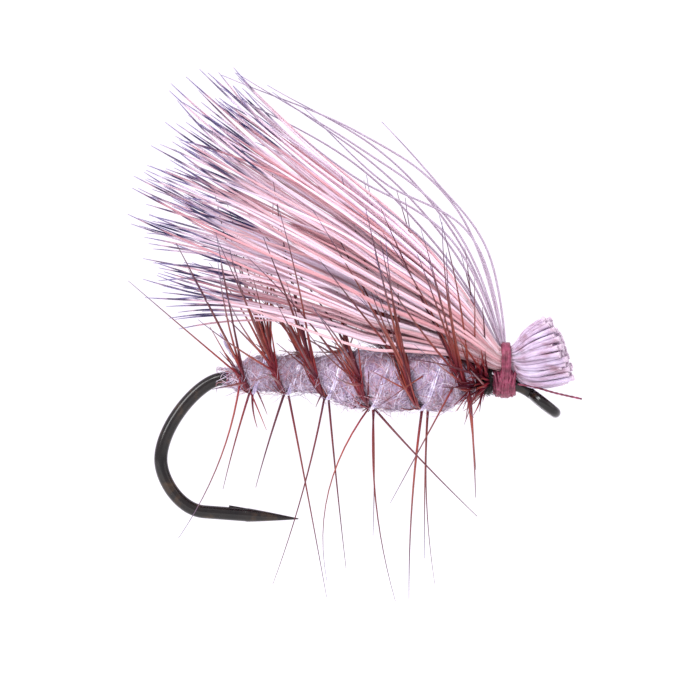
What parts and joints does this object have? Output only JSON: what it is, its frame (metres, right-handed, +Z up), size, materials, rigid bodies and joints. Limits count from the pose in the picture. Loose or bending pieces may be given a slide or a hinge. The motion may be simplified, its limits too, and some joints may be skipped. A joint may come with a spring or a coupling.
{
  "type": "dry fly",
  "caption": "Elk-hair caddis style dry fly: ring-eye hook, dubbed body, rib, palmered hackle, swept hair wing and trimmed head.",
  "frame": {"origin": "centre of the hook's eye ring, where the leader holds the fly", "axes": "+X forward along the shank towards the eye, +Z up through the wing with the hook point below, +Y to the fly's left"},
  "size_m": [0.0168, 0.0166, 0.0189],
  "materials": {
    "bronzed_wire": "glossy bronze lacquer over steel",
    "tying_thread": "waxed wine-red thread with a soft gloss",
    "dubbing_fur": "fuzzy spun fur, lilac-grey",
    "rib_strand": "clear pearly nylon strand",
    "hackle_barbs": "rust-brown feather, slightly glossy",
    "dark_herl": "fuzzy black-green herl",
    "elk_hair": "smooth pale hair with dark tips"
  },
  "bodies": {
    "root": {"hook": "bronzed_wire", "thread_underbody": "tying_thread", "dubbing_body": "dubbing_fur", "rib": "rib_strand", "hackle_feather": "hackle_barbs", "herl_collar": "dark_herl", "head_thread_wraps": "tying_thread", "wing_thread_band": "tying_thread", "thread_tag": "tying_thread", "wing_hair_01": "elk_hair", "wing_hair_02": "elk_hair", "wing_hair_03": "elk_hair", "wing_hair_04": "elk_hair", "wing_hair_05": "elk_hair", "wing_hair_06": "elk_hair", "wing_hair_07": "elk_hair", "wing_hair_08": "elk_hair", "wing_hair_09": "elk_hair", "wing_hair_10": "elk_hair", "wing_hair_11": "elk_hair", "wing_hair_12": "elk_hair", "wing_hair_13": "elk_hair", "wing_hair_14": "elk_hair", "wing_hair_15": "elk_hair", "wing_hair_16": "elk_hair", "wing_hair_17": "elk_hair", "wing_hair_18": "elk_hair", "wing_hair_19": "elk_hair", "wing_hair_20": "elk_hair", "wing_hair_21": "elk_hair", "wing_hair_22": "elk_hair", "wing_hair_23": "elk_hair", "wing_hair_24": "elk_hair", "wing_hair_25": "elk_hair", "wing_hair_26": "elk_hair", "wing_hair_27": "elk_hair", "wing_hair_28": "elk_hair", "wing_hair_29": "elk_hair", "wing_hair_30": "elk_hair", "wing_hair_31": "elk_hair", "wing_hair_32": "elk_hair", "wing_hair_33": "elk_hair", "wing_hair_34": "elk_hair", "wing_hair_35": "elk_hair", "wing_hair_36": "elk_hair", "wing_hair_37": "elk_hair", "wing_hair_38": "elk_hair", "wing_hair_39": "elk_hair", "wing_hair_40": "elk_hair", "wing_hair_41": "elk_hair", "wing_hair_42": "elk_hair", "wing_hair_43": "elk_hair", "wing_hair_44": "elk_hair"}
  },
  "joints": []
}
